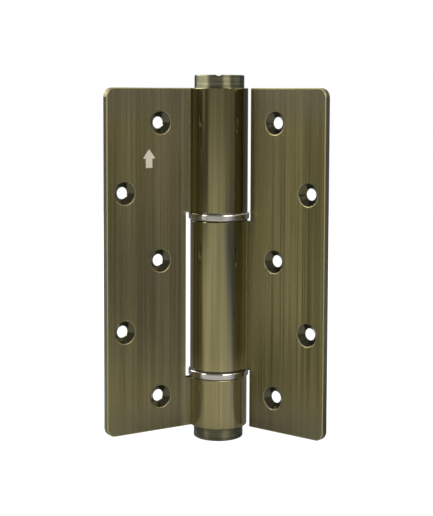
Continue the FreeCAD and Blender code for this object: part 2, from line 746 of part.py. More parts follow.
def ball_retainer():
    """Drilled disc pressed into the crown above the ball."""
    low = f"({PISTON_TOP} - retainer_thick)"
    body = turned(
        "ball_retainer",
        [
            ("0", low),
            ("retainer_dia / 2 - fit", low),
            ("retainer_dia / 2 - fit", PISTON_TOP),
            ("0", PISTON_TOP),
        ],
    )
    holes = new_sketch(body, "XY_Plane", PISTON_TOP)
    circle(holes, "retainer_row", "0", "retainer_hole / 2")
    drill = pocket(body, holes, "2 * retainer_thick")
    doc.recompute()
    ring = body.newObject("PartDesign::PolarPattern", "retainer_holes")
    ring.Originals = [drill]
    ring.Axis = (holes, ["N_Axis"])
    ring.Angle = 360
    ring.Occurrences = 3
    body.Tip = ring


def speed_screw():
    """Needle screw that meters the oil, with its head in the bottom cap."""
    head_top = "(screw_sunk + screw_cap_height)"
    tip = f"({VALVE_LEVEL} + needle_length / 2)"
    ring = f"({LEAF_BASE} + stem_groove_rise)"
    ring_high = f"({ring} + 2 * stem_ring)"
    stem = "screw_dia / 2"
    body = turned(
        "speed_screw",
        [
            ("0", "screw_sunk"),
            ("screw_cap_dia / 2", "screw_sunk"),
            ("screw_cap_dia / 2", head_top),
            (stem, head_top),
            (stem, ring),
            ("stem_groove_floor / 2", ring),
            ("stem_groove_floor / 2", ring_high),
            (stem, ring_high),
            (stem, f"{tip} - needle_length"),
            ("needle_dia / 2", f"{VALVE_LEVEL} - needle_clear"),
            ("needle_dia / 2", tip),
            ("0", tip),
        ],
    )
    key = new_sketch(body, "XY_Plane", "screw_sunk")
    hexagon(key, "key_flats")
    pocket(body, key, "screw_cap_height / 2", reverse=True)
    o_ring(
        "screw_o_ring",
        "((screw_dia - stem_ring) / 2 + fit)",
        "stem_ring",
        f"({ring} + {ring_high}) / 2",
    )


def cap_circlip():
    """Snap ring that keeps the top cap in its knuckle."""
    level = f"{LEAF_TOP} - circlip_level - fit"
    low = f"{level} - circlip_thick"
    body = turned(
        "cap_circlip",
        [
            ("circlip_inside / 2", low),
            ("circlip_outside / 2", low),
            ("circlip_outside / 2", level),
            ("circlip_inside / 2", level),
        ],
    )
    mouth = new_sketch(body, "XY_Plane", level)
    rectangle(mouth, "0", "-circlip_mouth / 2", "circlip_outside", "circlip_mouth / 2")
    pocket(body, mouth, "2 * circlip_thick")


def closing_spring():
    """Torsion spring of square wire; each end turns in to the middle and lies in a dog's slot."""
    body = new_body("closing_spring")
    low = f"({TRUNNION_TOP} - dog_slot_depth + wire / 2 + tang_gap)"
    high = f"({DOG_BASE} + dog_slot_depth - wire / 2 - tang_gap)"
    coil = "coil_dia / 2"
    section = new_sketch(body, "XZ_Plane")
    rectangle(
        section,
        f"{coil} - wire / 2",
        f"{low} - wire / 2",
        f"{coil} + wire / 2",
        f"{low} + wire / 2",
    )
    helix = body.newObject("PartDesign::AdditiveHelix", "spring_coils")
    helix.Profile = section
    helix.ReferenceAxis = (section, ["V_Axis"])
    helix.Mode = 0
    helix.setExpression("Pitch", bound(f"({high} - {low}) / coil_turns"))
    helix.setExpression("Height", bound(f"{high} - {low}"))
    doc.recompute()
    for level in (low, high):
        tang = new_sketch(body, "XY_Plane", f"{level} - wire / 2")
        rectangle(tang, "-wire", "-wire / 2", f"{coil} + wire / 2 - tang_set", "wire / 2")
        pad(body, tang, "wire")


frame_leaf()
door_leaf()
top_cap()
bottom_cap()
cap_lock_screw()
bearing_ring("upper_bearing_ring", UP_BASE, 1, "bush_dia / 2 + fit")
bearing_ring("lower_bearing_ring", LOW_TOP, -1, "spindle_dia / 2 + run_fit")
thrust_washer("upper_thrust_washer", MID_TOP, "bush_dia / 2 + fit")
thrust_washer("lower_thrust_washer", f"{MID_BASE} - washer_thick", "spindle_dia / 2 + run_fit")
cam_spindle()
cylinder_tube()
lower_gland()
gland_seal()
upper_plug()
trunnion_bush()
piston()
cam_pin()
check_ball()
ball_retainer()
speed_screw()
cap_circlip()
closing_spring()
doc.recompute()

for item in doc.Objects:
    if "Invalid" in item.State or "Error" in item.State:
        raise RuntimeError(f"{item.Label} did not rebuild: {item.State}")
os.makedirs("parts", exist_ok=True)
for body in PARTS:
    if body.Shape.isNull() or not body.Shape.isValid():
        raise RuntimeError(f"{body.Label} has no valid shape")
    if len(body.Shape.Solids) != 1:
        raise RuntimeError(f"{body.Label} is {len(body.Shape.Solids)} solids")
for body in PARTS:
    body.Shape.exportStep(f"parts/{body.Label}.step")
print(len(PARTS), "sub-parts")
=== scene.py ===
import json
import math

import bmesh
import bpy
from mathutils import Matrix, Vector

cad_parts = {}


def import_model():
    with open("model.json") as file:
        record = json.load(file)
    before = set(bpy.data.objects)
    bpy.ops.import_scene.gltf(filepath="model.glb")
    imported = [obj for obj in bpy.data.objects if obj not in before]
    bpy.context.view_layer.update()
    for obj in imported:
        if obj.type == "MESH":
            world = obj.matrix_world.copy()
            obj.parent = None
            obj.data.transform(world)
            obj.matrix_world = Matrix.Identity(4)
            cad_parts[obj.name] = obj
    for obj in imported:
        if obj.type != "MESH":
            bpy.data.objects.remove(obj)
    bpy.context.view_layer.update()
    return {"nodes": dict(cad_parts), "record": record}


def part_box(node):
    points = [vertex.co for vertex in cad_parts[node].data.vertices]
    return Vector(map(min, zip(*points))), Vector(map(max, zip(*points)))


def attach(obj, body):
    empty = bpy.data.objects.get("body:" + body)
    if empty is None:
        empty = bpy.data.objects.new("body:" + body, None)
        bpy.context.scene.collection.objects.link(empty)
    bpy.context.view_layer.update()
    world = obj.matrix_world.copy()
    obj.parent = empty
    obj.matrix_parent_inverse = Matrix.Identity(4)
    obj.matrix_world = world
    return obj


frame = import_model()
nodes = frame["nodes"]


def rgb(red, green, blue):
    """A screen colour, 0 to 255, as Blender's linear colour."""

    def linear(part):
        part /= 255
        return part / 12.92 if part <= 0.04045 else ((part + 0.055) / 1.055) ** 2.4

    return (linear(red), linear(green), linear(blue), 1.0)


# The leaves and the barrel in metres, read from the frame
FRAME_LOW, FRAME_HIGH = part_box("frame_leaf")
LEAF_WIDTH = -FRAME_LOW.x
LEAF_BASE = FRAME_LOW.z
LEAF_TOP = FRAME_HIGH.z
LEAF_MIDDLE = (LEAF_BASE + LEAF_TOP) / 2
LEAF_HALF = (LEAF_TOP - LEAF_BASE) / 2
BARREL = FRAME_HIGH.x
MIDDLE_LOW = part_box("lower_bearing_ring")[1].z
MIDDLE_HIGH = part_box("upper_bearing_ring")[0].z

# The leaves' other sizes. FRONT and BACK are the depths of their two faces behind the pin axis, EDGE is the
# worn bevel round the front, and HAIR is too thin to see.
FOLD = math.radians(70)
FRONT = 0.0025
BACK = 0.0055
CORNER = 0.004
EDGE = 0.00045
HOLE_PITCH = 0.030
INNER_ROW = 0.02825
OUTER_ROW = 0.04575
SCREW_HEAD = 0.005
HAIR = 0.0001

# The camera, solved from the photograph in a frame whose Y axis looks away from the viewer
VIEW_TURN = math.radians(-31.07)
CAMERA_SIDE = -0.00847
CAMERA_DISTANCE = 0.5342
CAMERA_HEIGHT = 0.1475
CAMERA_PITCH = math.radians(4.465)
CAMERA_YAW = math.radians(0.788)
CAMERA_ROLL = math.radians(0.204)
CAMERA_NEAR = 0.01
FOCAL_PIXELS = 1207.2
IMAGE_HEIGHT = 516
SHIFT_PIXELS = -70.0
SENSOR = 36.0

# Tones that both leaves share. The barrel's two are for its dark and light streaks, the ends' two for the leaves'
# lower and upper end.
BARREL_TONES = (rgb(116, 108, 74), rgb(140, 133, 95))
LEAF_END_TONES = (rgb(92, 88, 71), rgb(98, 95, 80))
# Painted sheen: a light grey where the plates meet the barrel
JOINT_PAINTED_SHEEN = rgb(146, 142, 118)
WORN_TONE = rgb(150, 142, 97)
# A light ring round the screw heads: rubbed brass with a painted highlight along its edge
RIM_WEAR_AND_HIGHLIGHT = rgb(146, 137, 112)
# Painted shade: a darker tone in the countersinks
CONE_PAINTED_SHADE = rgb(74, 72, 54)

# How far a tone replaces the one under it
HAZE_SHARE = 0.6
DIM_SHARE = 0.35
LEAF_END_SHARE = 0.5
PAINTED_BESIDE_SHARE = 0.85
JOINT_SHEEN_SHARE = 0.7
RIM_SHARE = 0.6

# Where these tones begin and end, in metres from the barrel, the leaves' foot or ends, or the screw heads' edge
PLATE_START = 0.001
JOINT_SHEEN_ZONE = (0.0004, 0.0017)
PAINTED_BESIDE_ZONE = (0.0015, 0.0065)
FOOT_ZONE = (0.01, 0.065)
DULL_ZONE = (0.024, 0.036)
LEAF_END_ZONE = (0.02, 0.004)
TOP_TONE_RISE = 0.01
DIM_SOFT = 0.004
PAINTED_BESIDE_SOFT = 0.001
RIM_ZONE = (0.0001, 0.00035)
LIP_WIDTH = 0.0004

# The bronze's roughness, and how much of a metal it is
BARREL_ROUGH = 0.16
PLATE_ROUGH = 0.22
STREAK_ROUGH = 0.1
CONE_ROUGH = 0.13
WORN_ROUGH = 0.58
PLATE_METAL = 0.92
JOINT_SHEEN_METAL_LOSS = 0.3
DULL_LOSS = 0.18

# What differs between the leaves: near and the tone for the middle knuckle are painted light and shade beside the
# barrel, and dim holds a darker upright band's ends
FRAME_LOOK = {
    "side": -1,
    "turn": 0.0,
    "dark": rgb(91, 85, 53),
    "light": rgb(124, 116, 78),
    "haze": rgb(115, 106, 79),
    "near": rgb(152, 145, 114),
    "painted_beside_middle": rgb(158, 151, 115),
    "end_face": rgb(116, 113, 98),
    "dim": (0.032, 0.042),
}
DOOR_LOOK = {
    "side": 1,
    "turn": FOLD,
    "dark": rgb(74, 70, 41),
    "light": rgb(125, 117, 77),
    "haze": rgb(108, 99, 69),
    "near": rgb(86, 81, 54),
    "painted_beside_middle": rgb(130, 124, 89),
    "end_face": rgb(82, 78, 70),
    "dim": (0.047, 0.06),
}

# The arrow mark in metres, upwards from the leaf's foot and sideways from the pin axis
ARROW_CENTRE = -0.03395
ARROW_TIP = 0.1238
ARROW_NECK = 0.1196
ARROW_FOOT = 0.1156
ARROW_HEAD = 0.00305
ARROW_STEM = 0.0016
ARROW_LIFT = 0.00003

# The studio that the metal mirrors. Azimuths are in degrees round the hinge, 0 at the camera and 90 to its
# right, and heights in degrees above the horizon. Two numbers are the ends of a rise or a fall; three are the
# ends of a band and how soft they are.
HORIZON = 0.8
FRONT_WALL = (-50.0, 50.0, 6.0)
WINDOW = (62.0, 84.0, 5.0)
RIGHT_WALL = (58.0, 68.0)
SKY = (4.0, 14.0)
TABLE_EDGE = (-6.0, 0.5)
SCREEN_AZIMUTH = 10.0
SCREEN_SLANT = 2.4
RIGHT_SCREEN_START = (-8.0, 32.0)
RIGHT_SCREEN_END = (57.0, 64.0)
BEHIND_SCREENS = (106.0, 176.0, 5.0)
BEHIND_HEIGHT = (-9.0, 10.0, 2.0)
FLANK_WALLS = (60.0, 104.0, 5.0)
POST = (-62.0, -44.0, 2.5)
POST_HEIGHT = (-5.5, 6.0, 1.5)
POST_FOOT = (-71.0, -60.0, 1.5)
POST_FOOT_HEIGHT = (-6.0, -0.8, 0.8)
SCREEN_TINT = (0.75, 0.92, 1.85, 1.0)
FRINGE_TINT = (0.95, 1.0, 1.4, 1.0)

# The strengths of the studio's parts
WALL_LIGHT = 0.78
WINDOW_GAIN = 0.2
RIGHT_WALL_GAIN = 0.22
WALL_SKY_LOSS = 0.58
AHEAD_LIGHT = 0.42
AHEAD_SKY_LOSS = 0.2
AHEAD_TABLE_GAIN = 0.68
FLANK_TABLE_GAIN = 0.2
RIGHT_SCREEN_LIGHT = 0.3
DARK_LIGHT = 0.14
WHITE = 1.0

# The table: distances from the pin axis in metres, and strengths as the metal sees them
TABLE_RADIUS = 1.0
TABLE_COLOUR = (0.9, 0.9, 0.9, 1)
# The foot light and its rises paint the hinge's shadow on the table as the metal sees it
TABLE_FOOT_LIGHT = 0.5
TABLE_RISES = (((0.015, 0.05), 0.48), ((0.2, 0.45), 0.1))
TABLE_SCREEN_AZIMUTH = 48.0
TABLE_SCREEN_SLANT = 48.0
TABLE_POST = (-80.0, -40.0, 12.0)
TABLE_POST_REACH = (0.2, 0.95)
TABLE_POST_SHARE = 0.7
TABLE_SOFT = (-22.0, 8.0)
TABLE_SOFT_REACH = (0.1, 0.5)
TABLE_SOFT_SHARE = 0.28
TABLE_SCREEN_LIGHT = 0.12
TABLE_DARK_LIGHT = 0.2
TABLE_FLANK_REACH = (0.05, 0.4)
TABLE_FLANK_TURN = (-10.0, 10.0)
TABLE_FLANK_SHARES = (0.58, 0.7)
TABLE_CAMERA_LIGHT = 1.08
TABLE_CAMERA_GLOW = 0.85
TABLE_MIRROR_GLOW = 0.97

# The lamps, in metres
LAMP_DISTANCE = 1.2
LAMP_HEIGHT = 0.6


def camera():
    """The photograph's view."""
    turn = Matrix.Rotation(VIEW_TURN, 3, "Z")
    ahead = Vector(
        (
            math.sin(CAMERA_YAW) * math.cos(CAMERA_PITCH),
            math.cos(CAMERA_YAW) * math.cos(CAMERA_PITCH),
            -math.sin(CAMERA_PITCH),
        )
    )
    right = Vector((math.cos(CAMERA_YAW), -math.sin(CAMERA_YAW), 0))
    up = right.cross(ahead)
    rolled = right * math.cos(CAMERA_ROLL) + up * math.sin(CAMERA_ROLL)
    risen = up * math.cos(CAMERA_ROLL) - right * math.sin(CAMERA_ROLL)
    place = turn @ Vector((CAMERA_SIDE, -CAMERA_DISTANCE, CAMERA_HEIGHT + LEAF_BASE))
    data = bpy.data.cameras.new("camera")
    data.sensor_width = SENSOR
    data.lens = FOCAL_PIXELS / IMAGE_HEIGHT * SENSOR
    data.shift_y = SHIFT_PIXELS / IMAGE_HEIGHT
    data.clip_start = CAMERA_NEAR
    obj = bpy.data.objects.new("camera", data)
    axes = Matrix((turn @ rolled, turn @ risen, turn @ -ahead)).transposed()
    obj.matrix_world = Matrix.Translation(place) @ axes.to_4x4()
    bpy.context.scene.collection.objects.link(obj)
    bpy.context.scene.camera = obj


class Nodes:
    """A short way to write the nodes of a material or of the world."""

    def __init__(self, owner):
        owner.use_nodes = True
        self.owner = owner
        self.tree = owner.node_tree
        self.shader = self.tree.nodes.get("Principled BSDF")

    def add(self, kind, **settings):
        node = self.tree.nodes.new(kind)
        for key, setting in settings.items():
            setattr(node, key, setting)
        return node

    def link(self, source, socket):
        self.tree.links.new(source, socket)

    def feed(self, socket, source):
        """Gives a socket a number, a colour or another node's output."""
        if isinstance(source, bpy.types.NodeSocket):
            self.link(source, socket)
        else:
            socket.default_value = source

    def surface(self, sockets):
        """Feeds the material's shader."""
        for name, source in sockets.items():
            self.feed(self.shader.inputs[name], source)

    def math(self, operation, first, second=0.0):
        node = self.add("ShaderNodeMath", operation=operation)
        self.feed(node.inputs[0], first)
        self.feed(node.inputs[1], second)
        return node.outputs[0]

    def chain(self, operation, first, others):
        """Joins numbers from left to right."""
        for other in others:
            first = self.math(operation, first, other)
        return first

    def plus(self, first, *others):
        return self.chain("ADD", first, others)

    def minus(self, first, *others):
        return self.chain("SUBTRACT", first, others)

    def times(self, first, *others):
        return self.chain("MULTIPLY", first, others)

    def largest(self, first, *others):
        return self.chain("MAXIMUM", first, others)

    def share(self, first, part, second):
        """Takes a part of one number and the rest of another."""
        return self.plus(self.times(first, part), self.times(second, 1.0 - part))

    def above(self, value, limit):
        return self.math("GREATER_THAN", value, limit)

    def below(self, value, limit):
        return self.math("LESS_THAN", value, limit)

    def size(self, value):
        """A number without its sign."""
        return self.math("ABSOLUTE", value)

    def diagonal(self, first, second):
        """The length of a line that reaches first one way and second the other."""
        squares = self.plus(self.math("POWER", first, 2.0), self.math("POWER", second, 2.0))
        return self.math("SQRT", squares)

    def step(self, value, low, high):
        """Rises smoothly from 0 at low to 1 at high."""
        node = self.add("ShaderNodeMapRange", interpolation_type="SMOOTHSTEP")
        for socket, source in zip(node.inputs, (value, low, high, 0.0, 1.0)):
            self.feed(socket, source)
        return node.outputs[0]

    def fall(self, value, low, high):
        """Sinks smoothly from 1 at low to 0 at high."""
        return self.minus(1.0, self.step(value, low, high))

    def band(self, value, low, high, soft):
        """Is 1 between low and high and fades to 0 over soft on each side."""
        return self.times(self.step(value, low - soft, low + soft), self.fall(value, high - soft, high + soft))

    def blend(self, factor, first, second):
        """Mixes two numbers."""
        node = self.add("ShaderNodeMix")
        for key, source in (("Factor", factor), (2, first), (3, second)):
            self.feed(node.inputs[key], source)
        return node.outputs[0]

    def mix(self, factor, first, second):
        """Mixes two colours."""
        node = self.add("ShaderNodeMix", data_type="RGBA")
        for key, source in (("Factor", factor), (6, first), (7, second)):
            self.feed(node.inputs[key], source)
        return node.outputs[2]

    def vector(self, operation, first, second=(0, 0, 0)):
        node = self.add("ShaderNodeVectorMath", operation=operation)
        self.feed(node.inputs[0], first)
        self.feed(node.inputs[1], second)
        return node.outputs["Value" if operation == "LENGTH" else "Vector"]

    def turned(self, vector, angle):
        """A vector turned round the vertical."""
        node = self.add("ShaderNodeVectorRotate", rotation_type="Z_AXIS")
        self.feed(node.inputs["Vector"], vector)
        self.feed(node.inputs["Angle"], angle)
        return node.outputs[0]

    def split(self, vector):
        """The three parts of a vector."""
        node = self.add("ShaderNodeSeparateXYZ")
        self.link(vector, node.inputs[0])
        return node.outputs

    def place(self):
        """The point on the object, in metres."""
        return self.add("ShaderNodeTexCoord").outputs["Object"]

    def noise(self, place, scale, detail, rough=0.5, stretch=(1, 1, 1)):
        """Noise whose cells are 1 / scale across, drawn out by stretch."""
        node = self.add("ShaderNodeTexNoise")
        scaled = self.vector("MULTIPLY", place, tuple(scale / part for part in stretch))
        for key, source in (("Vector", scaled), ("Scale", 1.0), ("Detail", detail), ("Roughness", rough)):
            self.feed(node.inputs[key], source)
        return node.outputs["Fac"]

    def bump(self, height, strength, distance, normal=None):
        node = self.add("ShaderNodeBump")
        for key, source in (("Height", height), ("Strength", strength), ("Distance", distance)):
            self.feed(node.inputs[key], source)
        if normal is not None:
            self.link(normal, node.inputs["Normal"])
        return node.outputs[0]

    def across(self, marks):
        """The direction across the marks on a face, from the direction in which they run."""
        normal = self.add("ShaderNodeNewGeometry").outputs["Normal"]
        return self.vector("CROSS_PRODUCT", normal, marks)

    def round_marks(self, place):
        """The direction in which turning marks run round the pin axis."""
        return self.vector("CROSS_PRODUCT", (0, 0, 1), place)


def new_material(name):
    return Nodes(bpy.data.materials.new(name))


def brushing(m, flat):
    """The finest streaks from top to bottom, and streaks of three widths together."""
    fine = m.noise(flat, scale=1800, detail=3, rough=0.6, stretch=(1, 1, 160))
    middle = m.noise(flat, scale=420, detail=2, stretch=(1, 1, 220))
    broad = m.noise(flat, scale=90, detail=2, stretch=(1, 1, 14))
    return fine, m.share(m.share(fine, 0.55, middle), 0.75, broad)


def plate_colour(m, flat, reach, z, tone, look):
    """The brushed plate: hazy in places, darker at the foot, greyer at both ends, and with painted light and shade
    beside the barrel.
    """
    plate = m.mix(tone, look["dark"], look["light"])
    cloud = m.noise(flat, scale=26, detail=2, stretch=(1, 1, 1.6))
    plate = m.mix(m.times(m.step(cloud, low=0.42, high=0.68), HAZE_SHARE), plate, look["haze"])
    dim = m.times(m.band(reach, *look["dim"], DIM_SOFT), DIM_SHARE)
    foot = m.times(m.fall(z, *(LEAF_BASE + part for part in FOOT_ZONE)), DIM_SHARE)
    plate = m.mix(m.largest(dim, foot), plate, look["dark"])
    end_zone = (LEAF_HALF - part for part in LEAF_END_ZONE)
    greyed = m.times(m.step(m.size(m.minus(z, LEAF_MIDDLE)), *end_zone), LEAF_END_SHARE)
    end_tone = m.mix(m.step(z, LEAF_MIDDLE, LEAF_MIDDLE + TOP_TONE_RISE), *LEAF_END_TONES)
    plate = m.mix(greyed, plate, end_tone)
    # Painted light and shade: the plate beside the barrel takes the look's near tones, lighter or darker
    beside = m.times(m.fall(reach, *(BARREL + part for part in PAINTED_BESIDE_ZONE)), PAINTED_BESIDE_SHARE)
    near = m.mix(m.band(z, MIDDLE_LOW, MIDDLE_HIGH, PAINTED_BESIDE_SOFT), look["near"], look["painted_beside_middle"])
    return m.mix(beside, plate, near)


def edge_masks(m, reach, y, z, on_front):
    """The worn bevel round the front, and the rounded sides of the corners."""
    inside_x = m.minus(reach, LEAF_WIDTH - CORNER)
    inside_z = m.minus(m.size(m.minus(z, LEAF_MIDDLE)), LEAF_HALF - CORNER)
    corner_x = m.largest(inside_x, 0.0)
    corner_z = m.largest(inside_z, 0.0)
    flat_part = m.math("MINIMUM", m.largest(inside_x, inside_z), 0.0)
    border = m.minus(m.plus(m.diagonal(corner_x, corner_z), flat_part), CORNER)
    off_barrel = m.above(reach, BARREL + 2 * HAIR)
    wear = m.times(m.step(border, low=-1.25 * EDGE, high=-0.85 * EDGE), m.times(on_front, off_barrel))
    round_side = m.times(
        m.above(y, FRONT + EDGE),
        m.above(border, -2 * HAIR),
        m.above(m.math("MINIMUM", corner_x, corner_z), 0.0),
    )
    return wear, round_side


def hole_distance(m, reach, z):
    """How far a point is from the middle of the nearest screw hole; the holes stand in two rows by turns."""
    level = m.math("DIVIDE", m.minus(z, LEAF_BASE), HOLE_PITCH)
    odd = m.math("MODULO", m.math("FLOOR", level), 2.0)
    row = m.plus(INNER_ROW, m.times(odd, OUTER_ROW - INNER_ROW))
    off_z = m.times(m.minus(m.math("FRACT", level), 0.5), HOLE_PITCH)
    return m.diagonal(m.minus(reach, row), off_z)


def leaf_material(name, look):
    """Bronze brushed from top to bottom, with the brass showing along the edges, a ring round the countersinks of
    rubbed brass and painted highlight, painted shade in the countersinks, and painted light and shade by the
    barrel.
    """
    m = new_material(name)
    flat = m.turned(m.place(), look["turn"])
    x, y, z = m.split(flat)
    reach = m.times(x, look["side"])
    fine, streak = brushing(m, flat)
    tone = m.step(streak, low=0.36, high=0.64)

    on_front = m.below(y, FRONT + EDGE)
    on_plate = m.step(reach, BARREL, BARREL + PLATE_START)
    # Painted sheen: a light grey strip where the plate meets the barrel, with less metal there
    painted_joint_sheen = m.times(m.fall(reach, *(BARREL + part for part in JOINT_SHEEN_ZONE)), on_plate)
    wear, round_side = edge_masks(m, reach, y, z, on_front)
    far = hole_distance(m, reach, z)
    # A light ring round each screw head: rubbed brass with a painted highlight along its edge
    rim_wear_and_highlight = m.times(m.fall(m.size(m.minus(far, SCREW_HEAD)), *RIM_ZONE), on_front)
    in_hole = m.times(m.below(far, SCREW_HEAD - HAIR), m.below(y, BACK - HAIR))
    cone = m.times(in_hole, m.above(reach, BARREL))

    plate = plate_colour(m, flat, reach, z, tone, look)
    base = m.mix(on_plate, m.mix(tone, *BARREL_TONES), plate)
    base = m.mix(m.times(painted_joint_sheen, JOINT_SHEEN_SHARE), base, JOINT_PAINTED_SHEEN)
    base = m.mix(wear, base, WORN_TONE)
    base = m.mix(m.times(rim_wear_and_highlight, RIM_SHARE), base, RIM_WEAR_AND_HIGHLIGHT)
    base = m.mix(m.above(reach, LEAF_WIDTH - HAIR), base, look["end_face"])
    # Painted shade: the countersinks take a darker tone
    base = m.mix(cone, base, CONE_PAINTED_SHADE)

    dull = m.fall(z, *(LEAF_BASE + part for part in DULL_ZONE))
    barrel_metal = m.minus(1.0, m.times(dull, DULL_LOSS))
    plate_metal = m.minus(PLATE_METAL, m.times(painted_joint_sheen, JOINT_SHEEN_METAL_LOSS))
    plate_rough = m.blend(cone, m.plus(PLATE_ROUGH, m.times(fine, STREAK_ROUGH)), CONE_ROUGH)
    plate_rough = m.blend(m.largest(wear, rim_wear_and_highlight, round_side), plate_rough, WORN_ROUGH)

    lip = m.times(m.step(far, SCREW_HEAD - HAIR, SCREW_HEAD + LIP_WIDTH), on_front)
    lip_normal = m.bump(lip, strength=0.7, distance=0.0003)
    m.surface(
        {
            "Base Color": base,
            "Metallic": m.blend(on_plate, barrel_metal, plate_metal),
            "Roughness": m.blend(on_plate, BARREL_ROUGH, plate_rough),
            "Anisotropic": 0.4,
            "Tangent": m.across((0, 0, 1)),
            "Normal": m.bump(streak, strength=0.12, distance=0.00004, normal=lip_normal),
        }
    )
    return m.owner


def cap_material():
    """Bronze turned on a lathe, with fine rings round the cap."""
    m = new_material("turned_bronze")
    place = m.place()
    rings = m.noise(place, scale=2600, detail=2, rough=0.6, stretch=(60, 60, 1))
    grooves = m.noise(place, scale=1100, detail=1, stretch=(60, 60, 1))
    height = m.share(rings, 0.4, grooves)
    m.surface(
        {
            "Base Color": m.mix(m.step(height, low=0.35, high=0.65), rgb(84, 82, 64), rgb(113, 111, 89)),
            "Metallic": 1.0,
            "Roughness": 0.33,
            "Anisotropic": 0.9,
            "Tangent": m.across(m.round_marks(place)),
            "Normal": m.bump(height, strength=0.5, distance=0.00006),
        }
    )
    return m.owner


def ring_material():
    """Metal turned and polished, so that it mirrors sharply round the ring and softly up and down."""
    m = new_material("polished_ring")
    place = m.place()
    rings = m.noise(place, scale=2400, detail=2, rough=0.6, stretch=(60, 60, 1))
    m.surface(
        {
            "Base Color": m.mix(rings, rgb(160, 157, 146), rgb(190, 187, 176)),
            "Metallic": 1.0,
            "Roughness": 0.22,
            "Anisotropic": 0.9,
            "Tangent": m.across(m.round_marks(place)),
        }
    )
    return m.owner


def darker(colour, share):
    return tuple(part * share for part in colour[:3]) + (1.0,)


def plain_metal(name, colour, rough):
    """Ground metal with a faint grain."""
    m = new_material(name)
    scratches = m.noise(m.place(), scale=1500, detail=3, rough=0.6)
    m.surface(
        {
            "Base Color": m.mix(m.step(scratches, low=0.3, high=0.7), darker(colour, 0.82), colour),
            "Metallic": 1.0,
            "Roughness": m.plus(rough * 0.8, m.times(scratches, rough * 0.4)),
        }
    )
    return m.owner


def soft_material(name, colour, rough):
    """Rubber or plastic with a faint mould grain."""
    m = new_material(name)
    grain = m.noise(m.place(), scale=3000, detail=2)
    m.surface(
        {
            "Base Color": m.mix(grain, darker(colour, 0.8), colour),
            "Roughness": m.plus(rough - 0.05, m.times(grain, 0.1)),
        }
    )
    return m.owner


def paint(names, material):
    """Gives the CAD pieces a material."""
    for name in names:
        slots = nodes[name].material_slots
        for slot in slots:
            slot.material = material
        if not slots:
            nodes[name].data.materials.append(material)


def slot_nodes(slot):
    """The CAD pieces of one material slot."""
    return [part["node"] for part in frame["record"]["subparts"] if part["material_slot"] == slot]


def arrow_mark():
    """The pale mark on the frame leaf that shows which end goes up."""
    right_half = [(ARROW_HEAD, ARROW_NECK), (ARROW_STEM, ARROW_NECK), (ARROW_STEM, ARROW_FOOT)]
    left_half = [(-x, z) for x, z in reversed(right_half)]
    outline = [(0, ARROW_TIP), *right_half, *left_half]
    mesh = bpy.data.meshes.new("arrow_mark")
    points = [(ARROW_CENTRE + x, FRONT - ARROW_LIFT, LEAF_BASE + z) for x, z in outline]
    mesh.from_pydata(points, [], [tuple(range(len(points)))])
    obj = bpy.data.objects.new("arrow_mark", mesh)
    bpy.context.scene.collection.objects.link(obj)
    obj.modifiers.new("thick", "SOLIDIFY").thickness = ARROW_LIFT
    m = new_material("etched_mark")
    grain = m.noise(m.place(), scale=1600, detail=2, stretch=(1, 1, 20))
    m.surface({"Base Color": m.mix(grain, rgb(144, 140, 124), rgb(174, 170, 152)), "Roughness": 0.55})
    mesh.materials.append(m.owner)
    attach(obj, "frame_side")


def studio_azimuth(m, way):
    """The direction of a point round the hinge in degrees: 0 at the camera, 90 to its right."""
    x, y, z = m.split(m.turned(way, -VIEW_TURN))
    return m.math("DEGREES", m.math("ARCTAN2", x, m.times(y, -1.0)))


def right_screen(m, azimuth, start):
    """A dark screen to the right of the camera, soft on its near side."""
    near_side = m.step(m.minus(azimuth, start), *RIGHT_SCREEN_START)
    return m.times(near_side, m.fall(azimuth, *RIGHT_SCREEN_END))


def table_light(m, far, azimuth, screen):
    """How brightly the metal sees the table: a painted shadow at the hinge's foot, and darker where the studio's
    dark parts stand.
    """
    light = TABLE_FOOT_LIGHT
    for reach, gain in TABLE_RISES:
        light = m.plus(light, m.times(m.step(far, *reach), gain))
    post = m.times(m.band(azimuth, *TABLE_POST), m.step(far, *TABLE_POST_REACH), TABLE_POST_SHARE)
    light = m.blend(post, light, TABLE_DARK_LIGHT)
    soft = m.times(m.step(azimuth, *TABLE_SOFT), m.step(far, *TABLE_SOFT_REACH), TABLE_SOFT_SHARE)
    light = m.blend(soft, light, TABLE_SCREEN_LIGHT)
    light = m.blend(screen, light, TABLE_SCREEN_LIGHT)
    light = m.blend(m.band(m.size(azimuth), *BEHIND_SCREENS), light, TABLE_DARK_LIGHT)
    share = m.blend(m.step(azimuth, *TABLE_FLANK_TURN), *TABLE_FLANK_SHARES)
    share = m.blend(m.step(far, *TABLE_FLANK_REACH), share, 0.0)
    return m.blend(m.times(m.band(m.size(azimuth), *FLANK_WALLS), share), light, 0.0)


